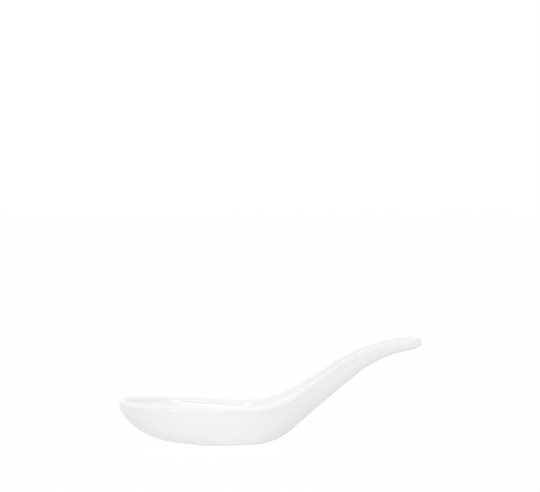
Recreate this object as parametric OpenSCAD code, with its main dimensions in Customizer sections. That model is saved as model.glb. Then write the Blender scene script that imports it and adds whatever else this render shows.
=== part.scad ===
// Chinese soup spoon: one slip-cast porcelain body with a fired glaze coat, standing on a bare foot.
// Frame in mm: +X runs from the tip to the handle's end, +Z is up, the origin is the foot's middle on the table.

/* [Plan] */

// Length from the bowl's tip to the handle's end
spoon_l = 140; // [132:1:150]
// Distance from the foot's middle forward to the bowl's tip
tip_reach = 47; // [45:0.5:52]
// Width of the bowl over its rim
bowl_w = 45; // [41:0.5:50]
// How far in front of the foot's middle the bowl is widest
wide_ahead = 10; // [5:0.5:14]
// Bluntness of the tip, as a share of the half width
tip_blunt = 0.68; // [0.56:0.02:0.76]
// Fullness of the bowl's front sides, as a share of their length
side_blunt = 0.63; // [0.53:0.02:0.71]
// How far the bowl's full width carries back towards the handle
shoulder_run = 31; // [26:0.5:35]
// Distance from the foot's middle back to the neck of the handle
neck_x = 50; // [46:0.5:54]
// How far the neck's narrow line carries forward into the bowl
neck_run = 21; // [16:0.5:24]
// Width of the handle at the neck
neck_w = 14.5; // [13:0.5:18]
// Narrowing of each side at the neck, in mm per mm of length
neck_taper = 0.12; // [0.04:0.02:0.18]
// Width of the handle at its rounded end
end_w = 13; // [11:0.5:15]

/* [Elevation] */

// Height of the rim at its lowest place
rim_h = 17; // [16:0.5:20]
// Rise of the rim from its lowest place to the tip
tip_rise = 3.1; // [1:0.1:5]
// Where the rim is lowest, measured back from the foot's middle
rim_low_x = 11; // [6:0.5:14]
// Radius on which the rim turns up into the handle
rim_turn_r = 47; // [38:1:54]
// Climb of the handle's rim in degrees
rim_climb = 34.5; // [33:0.5:38]
// Height of the rim at the handle's end
end_h = 47.1; // [46:0.1:50]
// Where the underside leaves the level, measured back from the foot's middle
heel_x = 14.5; // [13:0.5:19]
// Radius on which the underside turns up into the handle
heel_r = 29.5; // [22:0.5:32]
// Climb of the handle's underside in degrees
keel_climb = 39; // [38:0.5:41]
// Climb left in the underside where the end starts to round, in degrees
keel_end_climb = 9.5; // [6:0.5:15]
// Height of the handle from its underside to its rim where the end starts to round
end_t = 5; // [4.7:0.1:6.3]

/* [Wall] */

// Thickness of the rounded lip
lip_t = 3.2; // [2.6:0.1:3.8]
// How far below its rim the handle's end reaches furthest
end_nose = 3.3; // [1.8:0.1:3.4]
// Thickness of the bowl's floor above the foot
floor_t = 3.6; // [3:0.1:5]
// Radius of the level middle of the bowl's floor
floor_flat_r = 7; // [4:0.5:10]
// Where the floor starts to climb, measured back from the foot's middle
floor_turn_x = 10; // [6:0.5:14]
// Radius on which the floor turns up into the channel
floor_turn_r = 34; // [28:1:38]
// Climb of the channel's floor in degrees
floor_climb = 39; // [38:0.5:41]
// Depth left in the channel where the end starts to round
end_dish = 1; // [0.4:0.1:1.6]
// Exponent that rounds the outer wall, lower is fuller
wall_round = 0.62; // [0.54:0.02:0.72]
// Share by which the bowl's side walls run straight down to the foot instead of rounding under
side_straight = 0.6; // [0:0.1:0.8]
// Exponent that rounds the inner wall, lower is fuller
bowl_round = 0.66; // [0.58:0.02:0.76]
// Half width of the level strip along the underside of the neck
keel_flat = 1; // [0.6:0.1:1.6]
// Half width of the level strip under the handle's end
end_flat = 3.1; // [1.5:0.1:4]

/* [Foot] */

// Length of the bare foot
foot_l = 30; // [28:0.5:34]
// Width of the bare foot
foot_w = 22; // [18:0.5:24]
// Height of the foot below the bowl
foot_h = 0.4; // [0.3:0.1:1]

/* [Glaze] */

// Thickness of the fired glaze
glaze_t = 0.25; // [0.15:0.05:0.35]
// Width of the wiped strip between the foot and the glaze
wiped_w = 0.6; // [0.4:0.1:1]

/* [Hidden] */

tip_x = -tip_reach;
end_x = spoon_l - tip_reach;
half_w = bowl_w / 2;
wide_x = -wide_ahead;
end_r = end_w / 2;
// Ends of the spine that the wall's sections stand on
spine_front = -(foot_l - foot_w) / 2;
spine_back = end_x - end_r;
foot_r = foot_w / 2;
bare_r = foot_r + wiped_w;
bare_back = -spine_front + bare_r;
// Steps along the tip, the shoulder, the handle and its end, then up the outer wall, over the lip, down the inner
plan_steps = [15, 20, 7, 5];
outer_steps = 8;
lip_steps = 6;
inner_steps = 7;

// Level line, first arc, straight climb and second arc: [start x, start z, radius, climb, end x, end z, end climb]
rim_line = [rim_low_x, rim_h, rim_turn_r, rim_climb, end_x, end_h, 0];
end_rim_h = swept(rim_line, spine_back);
keel_line = [heel_x, foot_h, heel_r, keel_climb, spine_back, end_rim_h - end_t, keel_end_climb];
floor_line = [
    floor_turn_x, foot_h + floor_t, floor_turn_r, floor_climb,
    spine_back, end_rim_h - end_dish, slope_angle(rim_line, spine_back)
];

// Point at share t of a cubic curve
function cubic(a, b, c, d, t) =
    (1 - t)^3 * a + 3 * (1 - t)^2 * t * b + 3 * (1 - t) * t^2 * c + t^3 * d;

// Smooth step from 0 to 1
function eased(t) =
    let (k = max(0, min(1, t)))
    k * k * (3 - 2 * k);

function unit(v) = v / norm(v);

// End of a swept line's first arc
function arc_top(s) = [s[0] + s[2] * sin(s[3]), s[1] + s[2] * (1 - cos(s[3]))];

// Length of a swept line's straight climb and radius of its second arc, so that it ends where it should
function climb_and_radius(s) =
    let (p = arc_top(s), dx = s[4] - p[0], dz = s[5] - p[1])
    let (run = sin(s[3]) - sin(s[6]), rise = cos(s[6]) - cos(s[3]))
    let (det = cos(s[3] - s[6]) - 1)
    [(dx * rise - dz * run) / det, (cos(s[3]) * dz - sin(s[3]) * dx) / det];

// Height of a swept line at x
function swept(s, x) =
    let (p = arc_top(s), lr = climb_and_radius(s))
    let (q = p + lr[0] * [cos(s[3]), sin(s[3])])
    let (c = q + lr[1] * [sin(s[3]), -cos(s[3])])
    x <= s[0] ? s[1] :
    x <= p[0] ? s[1] + s[2] - sqrt(s[2]^2 - (x - s[0])^2) :
    x <= q[0] ? p[1] + (x - p[0]) * tan(s[3]) :
    c[1] + sqrt(lr[1]^2 - (x - c[0])^2);

// Slope of a swept line at x, from its rise over a short step back
function slope(s, x) = (swept(s, x) - swept(s, x - 0.02)) / 0.02;
function slope_angle(s, x) = atan(slope(s, x));

// Height of the lip's top above a point of the plan
function rim_top(x) = swept(rim_line, x) + tip_rise * max(0, (rim_low_x - x) / (rim_low_x - tip_x))^1.3;

// Half of the rim's outline seen from above, tip to handle end
function tip_curve(t) =
    cubic(
        [tip_x, 0],
        [tip_x, half_w * tip_blunt],
        [wide_x - (wide_x - tip_x) * side_blunt, half_w],
        [wide_x, half_w],
        t
    );
function shoulder_curve(t) =
    cubic(
        [wide_x, half_w],
        [wide_x + shoulder_run, half_w],
        [neck_x - neck_run, neck_w / 2 + neck_run * neck_taper],
        [neck_x, neck_w / 2],
        t
    );
function handle_curve(t) =
    let (third = (spine_back - neck_x) / 3)
    cubic(
        [neck_x, neck_w / 2],
        [neck_x + third, neck_w / 2 - third * neck_taper],
        [spine_back - third, end_r],
        [spine_back, end_r],
        t
    );
function end_curve(t) = [spine_back + end_r * sin(90 * t), end_r * cos(90 * t)];

outline = concat(
    [for (i = [0 : plan_steps[0] - 1]) tip_curve(i / plan_steps[0])],
    [for (i = [0 : plan_steps[1] - 1]) shoulder_curve(i / plan_steps[1])],
    [for (i = [0 : plan_steps[2] - 1]) handle_curve(i / plan_steps[2])],
    [for (i = [0 : plan_steps[3] - 1]) end_curve(i / plan_steps[3])],
    [[end_x, 0]]
);
half_n = len(outline) - 1;
column_n = 2 * half_n;

// Foot of a section on the spine
function spine_x(i) = max(spine_front, min(spine_back, outline[i][0]));

// Radius at which the wall of a section starts to rise: wide round the foot, narrow at the neck
function wall_start(x) =
    keel_flat
    + bare_r * (1 - eased(x / neck_x))
    + (end_flat - keel_flat) * eased((x - neck_x) / (spine_back - neck_x));

// Radius of the wiped strip's edge round the foot, and behind it a line along the keel
function wiped_edge(x) =
    let (in = max(0, x + spine_front), half = 0.3 * wall_start(x))
    max(half, sqrt(max(half^2, bare_r^2 - in^2)));

// Section of the wall as [radius, height] from the underside over the lip to the floor
function section(i) =
    let (p = outline[i], sx = spine_x(i), ray = p - [sx, 0], reach = norm(ray), lean = ray[0] / reach)
    let (m = eased((sx - heel_x) / (neck_x - heel_x)))
    let (lip = min(lip_t, 0.45 * reach), top = rim_top(p[0]), edge = top - lip / 2)
    let (drop = lip / 2 + (end_nose - lip / 2) * eased((sx - neck_x) / (spine_back - neck_x)))
    let (r0 = wall_start(sx), r1 = reach - lip)
    let (k = side_straight * (ray[1] / reach)^2 * (1 - eased(sx / neck_x)))
    let (r2 = min(0.4 * r1, floor_flat_r * (1 - m) + keel_flat / 2 * m))
    let (keel = swept(keel_line, sx), keel_lean = slope(keel_line, sx) * lean)
    let (dish = swept(floor_line, sx), dish_lean = slope(floor_line, sx) * lean)
    concat(
        [[wiped_edge(sx), keel + keel_lean * wiped_edge(sx)]],
        [
            for (j = [0 : outer_steps])
                let (a = 90 * j / outer_steps, r = r0 + (reach - r0) * sin(a), z = keel + keel_lean * r)
                [r, top - drop - (top - drop - z) * ((1 - k) * cos(a)^(2 * wall_round) + k * (1 - sin(a)))]
        ],
        [
            for (j = [1 : lip_steps - 1])
                cubic([reach, top - drop], [reach, top + drop / 3], [r1, top + lip / 6], [r1, edge], j / lip_steps)
        ],
        [
            for (j = [0 : inner_steps])
                let (a = 90 - 90 * j / inner_steps, r = r2 + (r1 - r2) * sin(a), z = dish + dish_lean * r)
                [r, edge - (edge - z) * cos(a)^(2 * bowl_round)]
        ]
    );

// Section of one column set up in space, on the +Y side first and then mirrored back to the tip
function raised(i) =
    let (k = min(i, column_n - i), side = i > half_n ? -1 : 1)
    let (sx = spine_x(k), ray = unit(outline[k] - [sx, 0]))
    [for (p = section(k)) [sx + p[0] * ray[0], side * p[0] * ray[1], p[1]]];

wall = [for (i = [0 : column_n - 1]) raised(i)];
row_n = len(wall[0]);

// Spine points, one for all the sections that fan out from an end
fan_front = len([for (p = outline) if (p[0] <= spine_front) 1]) - 1;
fan_back = half_n - len([for (p = outline) if (p[0] >= spine_back - 0.001) 1]) + 1;
spine_n = fan_back - fan_front + 1;
spine_xs = [for (i = [fan_front : fan_back]) spine_x(i)];
function spine_at(i) =
    let (k = min(i, column_n - i))
    max(fan_front, min(fan_back, k)) - fan_front;
under_spine = [for (x = spine_xs) [x, 0, swept(keel_line, x)]];
floor_spine = [for (x = spine_xs) [x, 0, swept(floor_line, x)]];

// Points of the skin and where each of them stands in the list
skin = concat(under_spine, floor_spine, [for (c = wall) each c]);
function under(i) = spine_at(i);
function over(i) = spine_n + spine_at(i);
function at(i, j) = 2 * spine_n + (i % column_n) * row_n + j;

// Four corners as two triangles, cut the same way on both halves of the spoon
function two(i, a, b, c, d) =
    i < half_n ? [if (a != b) [a, b, c], if (c != d) [a, c, d]] : [if (a != b) [a, b, d], if (c != d) [b, c, d]];

wall_faces = [
    for (i = [0 : column_n - 1], j = [0 : row_n - 2])
        each two(i, at(i, j), at(i + 1, j), at(i + 1, j + 1), at(i, j + 1))
];
floor_faces = [
    for (i = [0 : column_n - 1])
        each two(i, at(i, row_n - 1), at(i + 1, row_n - 1), over(i + 1), over(i))
];
function under_faces(list) = [for (i = list) each two(i, under(i), under(i + 1), at(i + 1, 0), at(i, 0))];

// First column whose underside is glazed right across
glazed_from = len([for (i = [0 : half_n]) if (spine_x(i) < bare_back) 1]);

// Direction out of the skin at a wall point
function wall_normal(i, j) =
    let (ahead = wall[(i + 1) % column_n][j] - wall[(i + column_n - 1) % column_n][j])
    let (up = wall[i][min(row_n - 1, j + 1)] - wall[i][max(0, j - 1)])
    unit(cross(up, ahead));

glaze_top = concat(
    [for (x = spine_xs) [x, 0, swept(keel_line, x)] + glaze_t * unit([slope(keel_line, x), 0, -1])],
    [for (x = spine_xs) [x, 0, swept(floor_line, x)] + glaze_t * unit([-slope(floor_line, x), 0, 1])],
    [for (i = [0 : column_n - 1], j = [0 : row_n - 1]) wall[i][j] + glaze_t * wall_normal(i, j)]
);
skin_n = len(skin);
glazed_faces = concat(
    wall_faces,
    floor_faces,
    under_faces([for (i = [glazed_from : column_n - glazed_from - 1]) i])
);
// Edge of the glaze round the foot, as pairs of points in the order that the glaze's top runs
glaze_edge = concat(
    [for (i = [0 : glazed_from - 1]) [at(i, 0), at(i + 1, 0)]],
    [for (i = [column_n - glazed_from : column_n - 1]) [at(i, 0), at(i + 1, 0)]],
    [[at(glazed_from, 0), under(glazed_from)]],
    [[under(glazed_from), at(column_n - glazed_from, 0)]]
);

module foot() {
    rise = foot_h + floor_t / 2;
    translate([spine_front, -foot_r, 0])
        cube([-2 * spine_front, foot_w, rise]);
    for (x = [spine_front, -spine_front])
        translate([x, 0, 0])
            cylinder(r = foot_r, h = rise, $fn = 96);
}

module porcelain_body() {
    color("Ivory")
        union() {
            polyhedron(skin, concat(wall_faces, floor_faces, under_faces([0 : column_n - 1])), convexity = 6);
            foot();
        }
}

module glaze_coat() {
    color("WhiteSmoke")
        polyhedron(
            concat(skin, glaze_top),
            concat(
                [for (f = glazed_faces) [f[2], f[1], f[0]]],
                [for (f = glazed_faces) f + [skin_n, skin_n, skin_n]],
                [for (e = glaze_edge) [e[1] + skin_n, e[0] + skin_n, e[0]]],
                [for (e = glaze_edge) [e[1] + skin_n, e[0], e[1]]]
            ),
            convexity = 6
        );
}

porcelain_body();
glaze_coat();
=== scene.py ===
import math

import bpy
import numpy as np
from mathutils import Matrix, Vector


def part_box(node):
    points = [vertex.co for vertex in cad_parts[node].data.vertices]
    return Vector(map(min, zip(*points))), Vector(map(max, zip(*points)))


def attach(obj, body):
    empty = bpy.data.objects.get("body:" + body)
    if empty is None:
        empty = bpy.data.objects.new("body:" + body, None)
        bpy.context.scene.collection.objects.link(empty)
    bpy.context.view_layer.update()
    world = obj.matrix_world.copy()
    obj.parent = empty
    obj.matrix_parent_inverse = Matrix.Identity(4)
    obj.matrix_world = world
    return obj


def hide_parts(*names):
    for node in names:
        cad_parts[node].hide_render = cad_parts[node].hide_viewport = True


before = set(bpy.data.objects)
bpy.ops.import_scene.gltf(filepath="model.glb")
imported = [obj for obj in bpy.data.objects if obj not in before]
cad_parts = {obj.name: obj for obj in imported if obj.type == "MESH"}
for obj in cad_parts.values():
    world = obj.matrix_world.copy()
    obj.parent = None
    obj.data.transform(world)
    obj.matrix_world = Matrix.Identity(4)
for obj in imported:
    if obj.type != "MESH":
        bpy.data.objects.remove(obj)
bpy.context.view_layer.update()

# Chinese soup spoon: a slip-cast porcelain body and the clear glaze fired over it, both finer than the solids.
# Shapes are worked out in mm, in the frame of the solids, and become metres when a mesh is made.
MM = 0.001
# Points that agree to this many decimals are one point
WELD_DECIMALS = 6
TOUCH = 10**-WELD_DECIMALS
low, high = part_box("porcelain_body")

# Plan, with the overall length and width taken from the solids
TIP_X = low.x / MM
END_X = high.x / MM
HALF_W = high.y / MM
WIDE_X = -10.0
TIP_BLUNT = 0.68
SIDE_BLUNT = 0.63
SHOULDER_RUN = 31.0
NECK_X = 50.0
NECK_RUN = 21.0
NECK_HALF_W = 7.25
NECK_TAPER = 0.12
END_R = 6.5
SPINE_BACK = END_X - END_R

# Elevation: the rim, the underside and the bowl's floor
RIM_H = 17.0
TIP_RISE = 3.1
TIP_RISE_POWER = 1.3
RIM_LOW_X = 11.0
RIM_TURN_R = 47.0
RIM_CLIMB = 34.5
END_H = 47.1
HEEL_X = 14.5
HEEL_R = 29.5
KEEL_CLIMB = 39.0
KEEL_END_CLIMB = 9.5
END_T = 5.0
FLOOR_T = 3.6
FLOOR_FLAT_R = 7.0
FLOOR_MOST_SHARE = 0.4
FLOOR_TURN_X = 10.0
FLOOR_TURN_R = 34.0
FLOOR_CLIMB = 39.0
END_DISH = 1.0

# Wall
LIP_T = 3.2
LIP_MOST_SHARE = 0.45
END_NOSE = 3.3
WALL_ROUND = 0.62
SIDE_STRAIGHT = 0.6
BOWL_ROUND = 0.66
KEEL_FLAT = 1.0
END_FLAT = 3.1

# Foot: a stadium pad with softened edges, and the strip wiped clean of glaze round it
FOOT_HALF = 4.0
FOOT_R = 11.0
FOOT_H = 0.4
FOOT_EDGE_R = 0.25
FOOT_FILLET = 0.2
WIPED_W = 0.6
BARE_R = FOOT_R + WIPED_W
BARE_BACK = FOOT_HALF + BARE_R

# Glaze: its thickness, the thinner lip, and the bead where it drew back from the foot
GLAZE_T = 0.25
LIP_THINNING = 0.35
LIP_FADE = 40
BEAD_T = 0.33
BEAD_R = 0.35
BEAD_FADE = 1.0
BEAD_STEPS = np.array([0.04, 0.09, 0.16, 0.25, 0.37, 0.6])
# Slow swell of the cast wall under the glaze
SWELL = 0.03
SWELL_LENGTH = 38.0
SWELL_START = 1.0

# Steps along the rim: tip, belly, back of the foot, heel, handle and handle end, then up the sections
TIP_STEPS = 48
BELLY_STEPS = 18
FOOT_STEPS = 30
HEEL_STEPS = 34
HANDLE_STEPS = 38
END_STEPS = 18
UNDER_STEPS = 4
WALL_STEPS = 24
LIP_STEPS = 14
BOWL_STEPS = 24
FLOOR_STEPS = 6
FOOT_RINGS = 5
FOOT_EDGE_STEPS = 6
SHOULDER_STEPS = 4000

# Photograph: its size, where the foot's middle falls in it, and the view that shows the spoon at that size
PHOTO_W, PHOTO_H = 540, 492
AIM_HEIGHT = 9.0
AIM_PX = (221.4, 422.5)
PX_PER_MM = 2.178
VIEW_AZIMUTH, VIEW_ELEVATION = -6.5, 7.45
VIEW_DISTANCE = 1000.0
VIEW_NEAR, VIEW_FAR = 10.0, 20000.0
SENSOR_W = 36.0


def eased(t):
    """Smooth step from 0 to 1."""
    k = np.clip(t, 0, 1)
    return k * k * (3 - 2 * k)


def cubic(a, b, c, d, t):
    """Points of a cubic curve at the shares t."""
    a, b, c, d = (np.array(p, float) for p in (a, b, c, d))
    t = np.asarray(t)[..., None]
    return (1 - t) ** 3 * a + 3 * (1 - t) ** 2 * t * b + 3 * (1 - t) * t**2 * c + t**3 * d


def swept_line(x0, z0, radius, climb, x1, z1, end_climb):
    """Height over x of a level line that turns up on an arc, climbs straight and turns over on an arc."""
    a, b = math.radians(climb), math.radians(end_climb)
    px, pz = x0 + radius * math.sin(a), z0 + radius * (1 - math.cos(a))
    dx, dz = x1 - px, z1 - pz
    det = math.cos(a - b) - 1
    length = (dx * (math.cos(b) - math.cos(a)) - dz * (math.sin(a) - math.sin(b))) / det
    over_r = (math.cos(a) * dz - math.sin(a) * dx) / det
    qx, qz = px + length * math.cos(a), pz + length * math.sin(a)
    cx, cz = qx + over_r * math.sin(a), qz - over_r * math.cos(a)

    def height(x):
        x = np.asarray(x, float)
        up = z0 + radius - np.sqrt(radius**2 - np.clip(x - x0, 0, radius) ** 2)
        over = cz + np.sqrt(np.maximum(0, over_r**2 - (x - cx) ** 2))
        return np.where(x <= px, up, np.where(x <= qx, pz + (x - px) * math.tan(a), over))

    return height


def slope(line, x, step=0.02):
    """Slope of a swept line, from its rise over a short step back."""
    return (line(x) - line(x - step)) / step


rim_line = swept_line(RIM_LOW_X, RIM_H, RIM_TURN_R, RIM_CLIMB, END_X, END_H, 0)
end_rim_h = float(rim_line(SPINE_BACK))
end_rim_climb = math.degrees(math.atan(slope(rim_line, SPINE_BACK)))
keel_line = swept_line(HEEL_X, FOOT_H, HEEL_R, KEEL_CLIMB, SPINE_BACK, end_rim_h - END_T, KEEL_END_CLIMB)
floor_line = swept_line(
    FLOOR_TURN_X, FOOT_H + FLOOR_T, FLOOR_TURN_R, FLOOR_CLIMB, SPINE_BACK, end_rim_h - END_DISH, end_rim_climb
)


def rim_top(x):
    """Height of the lip's top: the rim line, lifted towards the tip."""
    return rim_line(x) + TIP_RISE * np.maximum(0, (RIM_LOW_X - x) / (RIM_LOW_X - TIP_X)) ** TIP_RISE_POWER


def half_outline():
    """Rim seen from above on the +Y side, tip to handle end, with close stations behind the foot."""
    tip = cubic(
        (TIP_X, 0),
        (TIP_X, HALF_W * TIP_BLUNT),
        (WIDE_X - (WIDE_X - TIP_X) * SIDE_BLUNT, HALF_W),
        (WIDE_X, HALF_W),
        np.linspace(0, 1, TIP_STEPS + 1),
    )
    shoulder = cubic(
        (WIDE_X, HALF_W),
        (WIDE_X + SHOULDER_RUN, HALF_W),
        (NECK_X - NECK_RUN, NECK_HALF_W + NECK_RUN * NECK_TAPER),
        (NECK_X, NECK_HALF_W),
        np.linspace(0, 1, SHOULDER_STEPS),
    )
    third = (SPINE_BACK - NECK_X) / 3
    handle = cubic(
        (NECK_X, NECK_HALF_W),
        (NECK_X + third, NECK_HALF_W - third * NECK_TAPER),
        (SPINE_BACK - third, END_R),
        (SPINE_BACK, END_R),
        np.linspace(0, 1, HANDLE_STEPS + 1),
    )
    turn = np.linspace(0, math.pi / 2, END_STEPS + 1)
    end = np.column_stack([SPINE_BACK + END_R * np.sin(turn), END_R * np.cos(turn)])
    end[-1, 1] = 0
    stations = np.concatenate([
        np.linspace(WIDE_X, FOOT_HALF, BELLY_STEPS + 1)[1:-1],
        FOOT_HALF + BARE_R * np.sin(np.linspace(0, math.pi / 2, FOOT_STEPS + 1)),
        BARE_BACK + BEAD_STEPS,
        np.linspace(BARE_BACK + BEAD_STEPS[-1], NECK_X, HEEL_STEPS + 1)[1:-1],
    ])
    belly = np.column_stack([stations, np.interp(stations, shoulder[:, 0], shoulder[:, 1])])
    return np.vstack([tip, belly, handle, end[1:]])


outline = half_outline()
spine_x = np.clip(outline[:, 0], -FOOT_HALF, SPINE_BACK)
ray = outline - np.column_stack([spine_x, 0 * spine_x])
reach = np.linalg.norm(ray, axis=1)
ray = ray / reach[:, None]


def sections():
    """Radius and height of the porcelain's wall at each station, from wiped edge over the lip to the floor.

    Also gives, on each row, the share of painted light that whitens the inside of the bowl and the share by
    which the glaze is thinner and painted shade greys the lip, and how many rows lie outside.
    """
    sx, reach_, lean = spine_x[:, None], reach[:, None], ray[:, :1]
    to_neck = eased((sx - HEEL_X) / (NECK_X - HEEL_X))
    to_end = eased((sx - NECK_X) / (SPINE_BACK - NECK_X))
    lip = np.minimum(LIP_T, LIP_MOST_SHARE * reach_)
    top = rim_top(outline[:, :1])
    edge = top - lip / 2
    drop = lip / 2 + (END_NOSE - lip / 2) * to_end
    keel, keel_lean = keel_line(sx), slope(keel_line, sx) * lean
    dish, dish_lean = floor_line(sx), slope(floor_line, sx) * lean

    wiped = np.sqrt(np.maximum(0, BARE_R**2 - np.maximum(0, sx - FOOT_HALF) ** 2))
    wall_start = KEEL_FLAT + BARE_R * (1 - eased(sx / NECK_X)) + (END_FLAT - KEEL_FLAT) * to_end
    bead = wiped + np.concatenate([[0], BEAD_STEPS])
    flat = np.linspace(0, 1, UNDER_STEPS + 1)[1:]
    under = np.hstack([bead, bead[:, -1:] + (wall_start - bead[:, -1:]) * flat])
    under_z = keel + keel_lean * under

    a = np.linspace(0, math.pi / 2, WALL_STEPS + 1)[1:]
    wall = wall_start + (reach_ - wall_start) * np.sin(a)
    straight = SIDE_STRAIGHT * ray[:, 1:] ** 2 * (1 - eased(sx / NECK_X))
    fall = (1 - straight) * np.abs(np.cos(a)) ** (2 * WALL_ROUND) + straight * (1 - np.sin(a))
    wall_z = top - drop - (top - drop - keel - keel_lean * wall) * fall

    t = np.linspace(0, 1, LIP_STEPS + 1)[1:-1]
    inner = reach_ - lip
    over = cubic([1, 0], [1, 0], [0, 0], [0, 0], t)[:, 0] * lip + inner
    over_z = (
        (1 - t) ** 3 * (top - drop)
        + 3 * (1 - t) ** 2 * t * (top + drop / 3)
        + 3 * (1 - t) * t**2 * (top + lip / 6)
        + t**3 * edge
    )

    b = np.linspace(math.pi / 2, 0, BOWL_STEPS + 1)
    floor_r = np.minimum(FLOOR_MOST_SHARE * inner, FLOOR_FLAT_R * (1 - to_neck) + KEEL_FLAT / 2 * to_neck)
    bowl = floor_r + (inner - floor_r) * np.sin(b)
    bowl_z = edge - (edge - dish - dish_lean * bowl) * np.abs(np.cos(b)) ** (2 * BOWL_ROUND)
    floor = floor_r * np.linspace(1, 0, FLOOR_STEPS + 1)[1:]
    floor_z = dish + dish_lean * floor

    # Painted light: share by which the inside of the bowl is painted whiter, to make up for the shade in the
    # hollow
    bowl_painted_light = np.concatenate([
        np.zeros(under.shape[1] + WALL_STEPS + LIP_STEPS - 1),
        1 - np.sin(b) ** LIP_FADE,
        np.ones(FLOOR_STEPS),
    ])
    # Share by which the glaze is thinner on the lip and the rows beside it; the same share paints them greyer,
    # as painted shade over the lip's bright top
    thin_glaze_and_lip_shade = np.concatenate([
        np.zeros(under.shape[1]),
        np.sin(a) ** LIP_FADE,
        np.ones(LIP_STEPS - 1),
        np.sin(b) ** LIP_FADE,
        np.zeros(FLOOR_STEPS),
    ])
    radius = np.hstack([under, wall, over, bowl, floor])
    height = np.hstack([under_z, wall_z, over_z, bowl_z, floor_z])
    return radius, height, bowl_painted_light, thin_glaze_and_lip_shade, under.shape[1] + WALL_STEPS


def both_sides(x, y, z):
    """Grid of points on the +Y side and mirrored back to the tip, as one closed round of columns."""
    half = np.stack([x, y, z], axis=-1)
    return np.concatenate([half, half[-2:0:-1] * (1, -1, 1)])


def grid_faces(columns, rows, start=0):
    """Quads of a grid whose columns close on themselves."""
    return [
        [start + ((i + di) % columns) * rows + j + dj for di, dj in ((0, 0), (0, 1), (1, 1), (1, 0))]
        for i in range(columns)
        for j in range(rows - 1)
    ]


def welded(points, faces, *values):
    """Joins points that fall together and drops the faces that close up or lie in the middle plane.

    Each point's values are kept.
    """
    _, first, index = np.unique(
        np.round(points, WELD_DECIMALS), axis=0, return_index=True, return_inverse=True
    )
    index = index.ravel()
    aside = np.abs(points[first, 1]) > TOUCH
    kept = []
    for face in faces:
        corners = list(dict.fromkeys(int(index[k]) for k in face))
        if len(corners) > 2 and aside[corners].any():
            kept.append(corners)
    return (points[first], kept, *(v[first] for v in values))


def mesh_of(name, points, faces):
    """Smooth mesh in metres."""
    mesh = bpy.data.meshes.new(name)
    mesh.from_pydata(points * MM, [], faces)
    mesh.validate()
    mesh.shade_smooth()
    return mesh


def piece_of(mesh, material, node):
    """Piece that stands for a node of the frame and rides with it."""
    piece = bpy.data.objects.new(mesh.name, mesh)
    bpy.context.scene.collection.objects.link(piece)
    piece.data.materials.append(material)
    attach(piece, "root")
    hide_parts(node)
    return piece


radius, height, bowl_painted_light, thin_glaze_and_lip_shade, outer_rows = sections()
skin = both_sides(spine_x[:, None] + radius * ray[:, :1], radius * ray[:, 1:], height)
COLUMNS, ROWS = skin.shape[:2]


def glaze_thickness(points):
    """Fired thickness over the skin.

    It is thinner on the lip, swells slowly along the wall and stands in a bead where it meets the foot.
    """
    x, y = points[..., 0], points[..., 1]
    swell = SWELL * np.sin(math.tau * x / SWELL_LENGTH) * np.cos(math.tau * y / SWELL_LENGTH + SWELL_START)
    coat = GLAZE_T * (1 - LIP_THINNING * thin_glaze_and_lip_shade) + swell * (1 - thin_glaze_and_lip_shade)
    from_edge = np.hypot(np.maximum(np.abs(x) - FOOT_HALF, 0), y) - BARE_R
    rolled = BEAD_T * np.sqrt(1 - (1 - np.clip(from_edge / BEAD_R, 0, 1)) ** 2)
    settled = eased((from_edge - BEAD_R) / BEAD_FADE)
    beaded = rolled + (coat - rolled) * settled
    outside = np.arange(ROWS) < outer_rows
    return np.where(outside, np.where(from_edge < TOUCH, 0, beaded), coat)


def glaze_mesh():
    """Glaze as a closed coat: its face lies on the porcelain, and its top stands off by its thickness."""
    rows = np.broadcast_to(np.arange(ROWS), (COLUMNS, ROWS)).ravel()
    coat = glaze_thickness(skin).ravel()
    points, faces, coat, rows = welded(skin.reshape(-1, 3), grid_faces(COLUMNS, ROWS), coat, rows)
    under = mesh_of("glaze_underside", points, faces)
    normals = np.array([n.vector for n in under.vertex_normals])
    bpy.data.meshes.remove(under)
    top = points + normals * coat[:, None]
    back = [[k + len(points) for k in reversed(f)] for f in faces]
    points, faces, rows = welded(np.vstack([top, points]), faces + back, np.tile(rows, 2))
    mesh = mesh_of("glaze_coating", points, faces)
    # The glaze's colour reads these shares: painted light in the bowl, painted shade on the lip
    for name, amount in (("bowl_painted_light", bowl_painted_light), ("thin_glaze_and_lip_shade", thin_glaze_and_lip_shade)):
        mesh.attributes.new(name, "FLOAT", "POINT").data.foreach_set("value", amount[rows].astype(np.float32))
    return mesh


def body_mesh():
    """Porcelain as one closed form: the foot's base, its softened edge, the wiped strip and the wall."""
    arc = np.linspace(0, math.pi / 2, FOOT_EDGE_STEPS + 1)
    base = np.linspace(0, FOOT_R - FOOT_EDGE_R, FOOT_RINGS + 1)
    ring_r = np.concatenate([
        base,
        FOOT_R - FOOT_EDGE_R * (1 - np.sin(arc[1:])),
        FOOT_R + FOOT_FILLET * (1 - np.cos(arc)),
    ])
    ring_z = np.concatenate([
        0 * base,
        FOOT_EDGE_R * (1 - np.cos(arc[1:])),
        FOOT_H - FOOT_FILLET * (1 - np.sin(arc)),
    ])
    back = np.maximum(0, np.minimum(spine_x, BARE_BACK) - FOOT_HALF)
    foot_x = np.minimum(spine_x, FOOT_HALF)
    turned = np.column_stack([back, np.sqrt(np.maximum(0, BARE_R**2 - back**2))]) / BARE_R
    aim = np.where((spine_x > FOOT_HALF)[:, None], turned, ray)
    foot = both_sides(
        foot_x[:, None] + ring_r * aim[:, :1],
        ring_r * aim[:, 1:],
        np.broadcast_to(ring_z, (len(aim), len(ring_z))),
    )
    grid = np.concatenate([foot, skin], axis=1)
    points, faces = welded(grid.reshape(-1, 3), grid_faces(COLUMNS, grid.shape[1]))
    return mesh_of("porcelain_spoon", points, faces)


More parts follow.
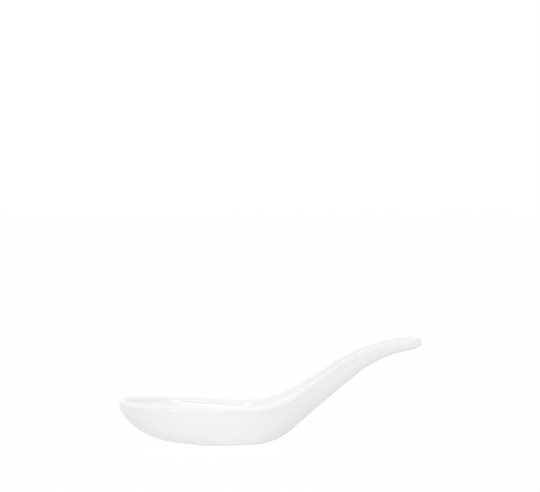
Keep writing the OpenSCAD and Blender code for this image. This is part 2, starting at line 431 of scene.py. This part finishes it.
# Finishes: how far apart their marks lie, how high they stand and how rough they are
CLOUD_ACROSS = 16.0
RIPPLE_ACROSS = 5.0
RIPPLE_H = 0.004
GLAZE_ROUGH = (0.05, 0.09)
GRAIN_ACROSS = 0.4
GRAIN_H = 0.03
MARKS_APART = 0.5
MARKS_DRAWN = 0.06
MARKS_TURN = 0.5
FOOT_ROUGH = (0.62, 0.82)


def linear(code):
    """Linear colour of an sRGB hex code."""
    parts = [int(code[k:k + 2], 16) / 255 for k in (1, 3, 5)]
    return (*(c / 12.92 if c <= 0.04045 else ((c + 0.055) / 1.055) ** 2.4 for c in parts), 1.0)


def put(tree, kind, settings=None, inputs=None):
    """Adds one node with its settings, and gives each named input its value or its link."""
    node = tree.nodes.new("ShaderNode" + kind)
    for name, value in (settings or {}).items():
        setattr(node, name, value)
    for name, value in (inputs or {}).items():
        if isinstance(value, bpy.types.NodeSocket):
            tree.links.new(value, node.inputs[name])
        else:
            node.inputs[name].default_value = value
    return node


def material_of(name):
    """Empty material and its node tree."""
    material = bpy.data.materials.new(name)
    material.use_nodes = True
    material.node_tree.nodes.clear()
    return material, material.node_tree


def glazed_porcelain():
    """Clear glaze over white porcelain: a warm white under wet-looking glass.

    It is painted whiter inside the bowl, which is painted light against the shade in the hollow, and a little
    greyer on the lip, which is painted shade over its bright top, where the glaze is also thinner.
    The glass has the faint ripple of a fired coat.
    """
    material, tree = material_of("glazed_porcelain")
    place = put(tree, "TexCoord").outputs["Object"]
    # Painted light in the bowl, and the share that greys the lip as painted shade
    bowl_light = put(tree, "Attribute", {"attribute_name": "bowl_painted_light"}).outputs["Fac"]
    edge = put(tree, "Attribute", {"attribute_name": "thin_glaze_and_lip_shade"}).outputs["Fac"]
    # Clouds of slightly thicker glaze, which also make the painted light in the bowl uneven
    clouds = put(tree, "TexNoise", None, {"Vector": place, "Scale": 1 / (CLOUD_ACROSS * MM), "Detail": 2.0})
    cloud = clouds.outputs["Fac"]
    patchiness = put(tree, "MapRange", None, {"Value": cloud, "To Min": 0.6, "To Max": 1.2}).outputs[0]
    share = put(tree, "Math", {"operation": "MULTIPLY", "use_clamp": True}, {0: bowl_light, 1: patchiness}).outputs[0]
    # Painted light: whiter inside the bowl, against the shade in the hollow
    body = put(tree, "Mix", {"data_type": "RGBA"}, {0: share, 6: linear("#F2F1EF"), 7: linear("#FAF9F8")})
    # Painted shade: greyer on the lip, which tones down its bright top
    lipped = put(tree, "Mix", {"data_type": "RGBA"}, {0: edge, 6: body.outputs[2], 7: linear("#EEEDEB")})
    # Ripple of the fired glass, a few microns high
    ripples = put(tree, "TexNoise", None, {"Vector": place, "Scale": 1 / (RIPPLE_ACROSS * MM), "Detail": 1.0})
    ripple = ripples.outputs["Fac"]
    bump = put(tree, "Bump", None, {"Height": ripple, "Strength": 1.0, "Distance": RIPPLE_H * MM})
    # Gloss, a touch softer in patches
    least, most = GLAZE_ROUGH
    gloss = put(tree, "MapRange", None, {"Value": cloud, "To Min": least, "To Max": most}).outputs[0]
    shader = put(tree, "BsdfPrincipled", None, {
        "Base Color": lipped.outputs[2],
        "Roughness": gloss,
        "IOR": 1.5,
        "Normal": bump.outputs[0],
    })
    put(tree, "OutputMaterial", None, {"Surface": shader.outputs[0]})
    return material


def bare_porcelain():
    """Unglazed fired porcelain, ground level on a wheel.

    It is a matte, faintly warm white with a fine grain and soft scratches.
    """
    material, tree = material_of("bare_porcelain")
    place = put(tree, "TexCoord").outputs["Object"]
    # Grain of the fired clay, drawn coarser than the real 0.05 mm, which would not show
    grains = put(tree, "TexNoise", None, {"Vector": place, "Scale": 1 / (GRAIN_ACROSS * MM), "Detail": 3.0})
    grain = grains.outputs["Fac"]
    # Marks of the grinding wheel, drawn out long across the foot
    drawn = put(tree, "Mapping", None, {
        "Vector": place, "Scale": (MARKS_DRAWN, 1.0, 1.0), "Rotation": (0, 0, MARKS_TURN)
    }).outputs[0]
    marks = put(tree, "TexNoise", None, {"Vector": drawn, "Scale": 1 / (MARKS_APART * MM), "Detail": 1.0})
    rough = put(tree, "Math", {"operation": "MULTIPLY"}, {0: grain, 1: marks.outputs["Fac"]}).outputs[0]
    colour = put(tree, "Mix", {"data_type": "RGBA"}, {0: rough, 6: linear("#EDE9E1"), 7: linear("#DAD5CB")})
    bump = put(tree, "Bump", None, {"Height": rough, "Strength": 0.6, "Distance": GRAIN_H * MM})
    least, most = FOOT_ROUGH
    gloss = put(tree, "MapRange", None, {"Value": grain, "To Min": least, "To Max": most}).outputs[0]
    shader = put(tree, "BsdfPrincipled", None, {
        "Base Color": colour.outputs[2],
        "Roughness": gloss,
        "IOR": 1.5,
        "Normal": bump.outputs[0],
        "Subsurface Weight": 0.15,
        "Subsurface Radius": (1.0 * MM, 0.8 * MM, 0.6 * MM),
        "Subsurface Scale": 1.0,
    })
    put(tree, "OutputMaterial", None, {"Surface": shader.outputs[0]})
    return material


piece_of(body_mesh(), bare_porcelain(), "porcelain_body")
piece_of(glaze_mesh(), glazed_porcelain(), "glaze_coat")

# Stage: a white sheet that keeps a faint shadow, in a white tent with a lamp behind its cloth.
# A small arch of light close by shows as a thin line in the bowl, and a white flag hides it from the handle.
FLOOR_HALF = 3000.0
FLOOR_DROP = 0.02
FLOOR_SEEN_WHITE = 0.965
GLOW_LEVEL = 0.13
PATCH_LEVEL = 0.215
PATCH_EDGE = 0.65
PATCH_AT = (-5.5, -21.0)
PATCH_R = (49.0, 44.0)
TENT_FRONT = 0.756
TENT_BACK = 1.305
TENT_FACES = (0.0, 0.0)
LAMP_FACES = (-12.0, 8.0)
LAMP_TIGHT = 6.0
LAMP_LIGHT = 1.17
ARCH_AT = (-14.0, -80.0, 27.0)
ARCH_R = (21.5, 35.0)
ARCH_BAND = (4.2, 7.0)
ARCH_LEGS = 15.0
ARCH_LIGHT = 8.0
ARCH_SIDES = 72
FLAG_X = 15.0
FLAG_Y = (-66.0, -24.0)
FLAG_H = 80.0


def facing(azimuth, elevation):
    """Direction from the spoon to a place round it; azimuth 0 is in front and turns towards the handle."""
    a, e = math.radians(azimuth), math.radians(elevation)
    return Vector((math.sin(a) * math.cos(e), -math.cos(a) * math.cos(e), math.sin(e)))


def staged(name, points, faces, material):
    """Object of the stage, which is no part of the spoon."""
    mesh = bpy.data.meshes.new(name)
    mesh.from_pydata(points, [], faces)
    mesh.materials.append(material)
    thing = bpy.data.objects.new(name, mesh)
    bpy.context.scene.collection.objects.link(thing)
    return thing


def seen_rays(tree):
    """1 for rays that see the stage straight, in a reflection or through glass, and 0 for rays of light."""
    path = put(tree, "LightPath").outputs
    larger = {"operation": "MAXIMUM"}
    either = put(tree, "Math", larger, {0: path["Is Camera Ray"], 1: path["Is Glossy Ray"]}).outputs[0]
    return put(tree, "Math", larger, {0: either, 1: path["Is Transmission Ray"]}).outputs[0]


def white_sheet():
    """Matte white sheet lit a little from below, most round the foot, so that the underside is not dark.

    Seen straight or in a reflection it is nearly plain white, with a trace of the spoon's shadow left.
    """
    material, tree = material_of("white_sheet")
    lit = put(tree, "BsdfDiffuse", None, {"Color": linear("#CFCFCF")})
    place = put(tree, "TexCoord").outputs["Object"]
    spread = put(tree, "Mapping", {"vector_type": "TEXTURE"}, {
        "Vector": place,
        "Location": (PATCH_AT[0] * MM, PATCH_AT[1] * MM, 0),
        "Scale": (PATCH_R[0] * MM, PATCH_R[1] * MM, 1),
    }).outputs[0]
    patch = put(tree, "TexGradient", {"gradient_type": "SPHERICAL"}, {"Vector": spread}).outputs["Fac"]
    level = put(tree, "MapRange", {"interpolation_type": "SMOOTHSTEP"}, {
        "Value": patch, "From Max": PATCH_EDGE, "To Min": GLOW_LEVEL, "To Max": GLOW_LEVEL + PATCH_LEVEL
    })
    glow = put(tree, "Emission", None, {"Strength": level.outputs[0]}).outputs[0]
    lights = put(tree, "AddShader", None, {0: lit.outputs[0], 1: glow}).outputs[0]
    white = put(tree, "Emission", None, {"Strength": 1.0})
    share = put(tree, "Math", {"operation": "MULTIPLY"}, {0: seen_rays(tree), 1: FLOOR_SEEN_WHITE})
    mixed = put(tree, "MixShader", None, {0: share.outputs[0], 1: lights, 2: white.outputs[0]})
    put(tree, "OutputMaterial", None, {"Surface": mixed.outputs[0]})
    return material


def strip_lamp(name, inner, outer, level):
    """Strip of light between two lines of points, which shows in the glaze only and lights nothing."""
    material, tree = material_of(name)
    glow = put(tree, "Emission", None, {"Strength": level})
    put(tree, "OutputMaterial", None, {"Surface": glow.outputs[0]})
    count = len(inner)
    faces = [(k, k + 1, count + k + 1, count + k) for k in range(count - 1)]
    lamp = staged(name, [*inner, *outer], faces, material)
    lamp.visible_camera = False
    lamp.visible_diffuse = False
    lamp.visible_shadow = False


def arch_line(share):
    """Line over the arch of light, at a share of its band's width."""
    turns = [math.radians(-ARCH_LEGS + (180 + 2 * ARCH_LEGS) * k / ARCH_SIDES) for k in range(ARCH_SIDES + 1)]
    across, up = (r + share * band for r, band in zip(ARCH_R, ARCH_BAND))
    x, y, z = ARCH_AT
    return [Vector((x + across * math.cos(t), y, z + up * math.sin(t))) * MM for t in turns]


def make_stage():
    """Sheet under the spoon, and the arch of light with its flag."""
    corners = [(-1, -1), (1, -1), (1, 1), (-1, 1)]
    sheet = white_sheet()
    # The sheet's light is met by chance alone, which leaves less grain on the spoon
    sheet.cycles.emission_sampling = "NONE"
    points = [Vector((x * FLOOR_HALF, y * FLOOR_HALF, -FLOOR_DROP)) * MM for x, y in corners]
    staged("floor", points, [(0, 1, 2, 3)], sheet)
    strip_lamp("arch_lamp", arch_line(-0.5), arch_line(0.5), ARCH_LIGHT)
    low_edge, high_edge = ([Vector((FLAG_X, y, z)) * MM for y in FLAG_Y] for z in (0, FLAG_H))
    strip_lamp("white_flag", low_edge, high_edge, 1.0)


def make_tent():
    """World as a white tent, plain white where it is seen.

    As light it is stronger behind, with a soft lamp in front.
    """
    world = bpy.data.worlds.new("tent")
    bpy.context.scene.world = world
    world.use_nodes = True
    tree = world.node_tree
    tree.nodes.clear()
    place = put(tree, "TexCoord").outputs["Generated"]
    along = {"operation": "DOT_PRODUCT"}
    ahead = put(tree, "VectorMath", along, {0: place, 1: facing(*TENT_FACES)}).outputs["Value"]
    cloth = put(tree, "MapRange", None, {
        "Value": ahead, "From Min": -1.0, "To Min": TENT_BACK, "To Max": TENT_FRONT
    }).outputs[0]
    lamp = put(tree, "VectorMath", along, {0: place, 1: facing(*LAMP_FACES)}).outputs["Value"]
    near = put(tree, "Math", {"operation": "MAXIMUM"}, {0: lamp, 1: 0.0}).outputs[0]
    spot = put(tree, "Math", {"operation": "POWER"}, {0: near, 1: LAMP_TIGHT}).outputs[0]
    level = put(tree, "Math", {"operation": "MULTIPLY_ADD"}, {0: spot, 1: LAMP_LIGHT, 2: cloth}).outputs[0]
    # The cloth ends at the sheet, so no light is spent below it
    up = put(tree, "SeparateXYZ", None, {0: place}).outputs["Z"]
    above = put(tree, "Math", {"operation": "GREATER_THAN"}, {0: up, 1: 0.0}).outputs[0]
    shown = put(tree, "Math", {"operation": "MULTIPLY"}, {0: level, 1: above}).outputs[0]
    lights = put(tree, "Background", None, {"Color": (1, 1, 1, 1), "Strength": shown})
    white = put(tree, "Background", None, {"Color": (1, 1, 1, 1), "Strength": 1.0})
    mixed = put(tree, "MixShader", None, {0: seen_rays(tree), 1: lights.outputs[0], 2: white.outputs[0]})
    put(tree, "OutputWorld", None, {"Surface": mixed.outputs[0]})


def make_camera():
    """Camera in front of the spoon, turned so that the foot falls where the photograph has it."""
    focal_px = PX_PER_MM * VIEW_DISTANCE
    data = bpy.data.cameras.new("camera")
    data.sensor_width = SENSOR_W
    data.lens = focal_px * SENSOR_W / PHOTO_W
    data.clip_start = VIEW_NEAR * MM
    data.clip_end = VIEW_FAR * MM
    camera = bpy.data.objects.new("camera", data)
    bpy.context.scene.collection.objects.link(camera)
    back = facing(VIEW_AZIMUTH, VIEW_ELEVATION)
    camera.location = Vector((0, 0, AIM_HEIGHT * MM)) + back * VIEW_DISTANCE * MM
    straight = (-back).to_track_quat("-Z", "Y")
    ahead = Vector((0, 0, -1))
    aside = ahead.rotation_difference(Vector((AIM_PX[0] - PHOTO_W / 2, PHOTO_H / 2 - AIM_PX[1], -focal_px)))
    camera.rotation_mode = "QUATERNION"
    camera.rotation_quaternion = straight @ aside.inverted()
    bpy.context.scene.camera = camera


make_stage()
make_tent()
make_camera()
bpy.context.scene.view_settings.view_transform = "Standard"
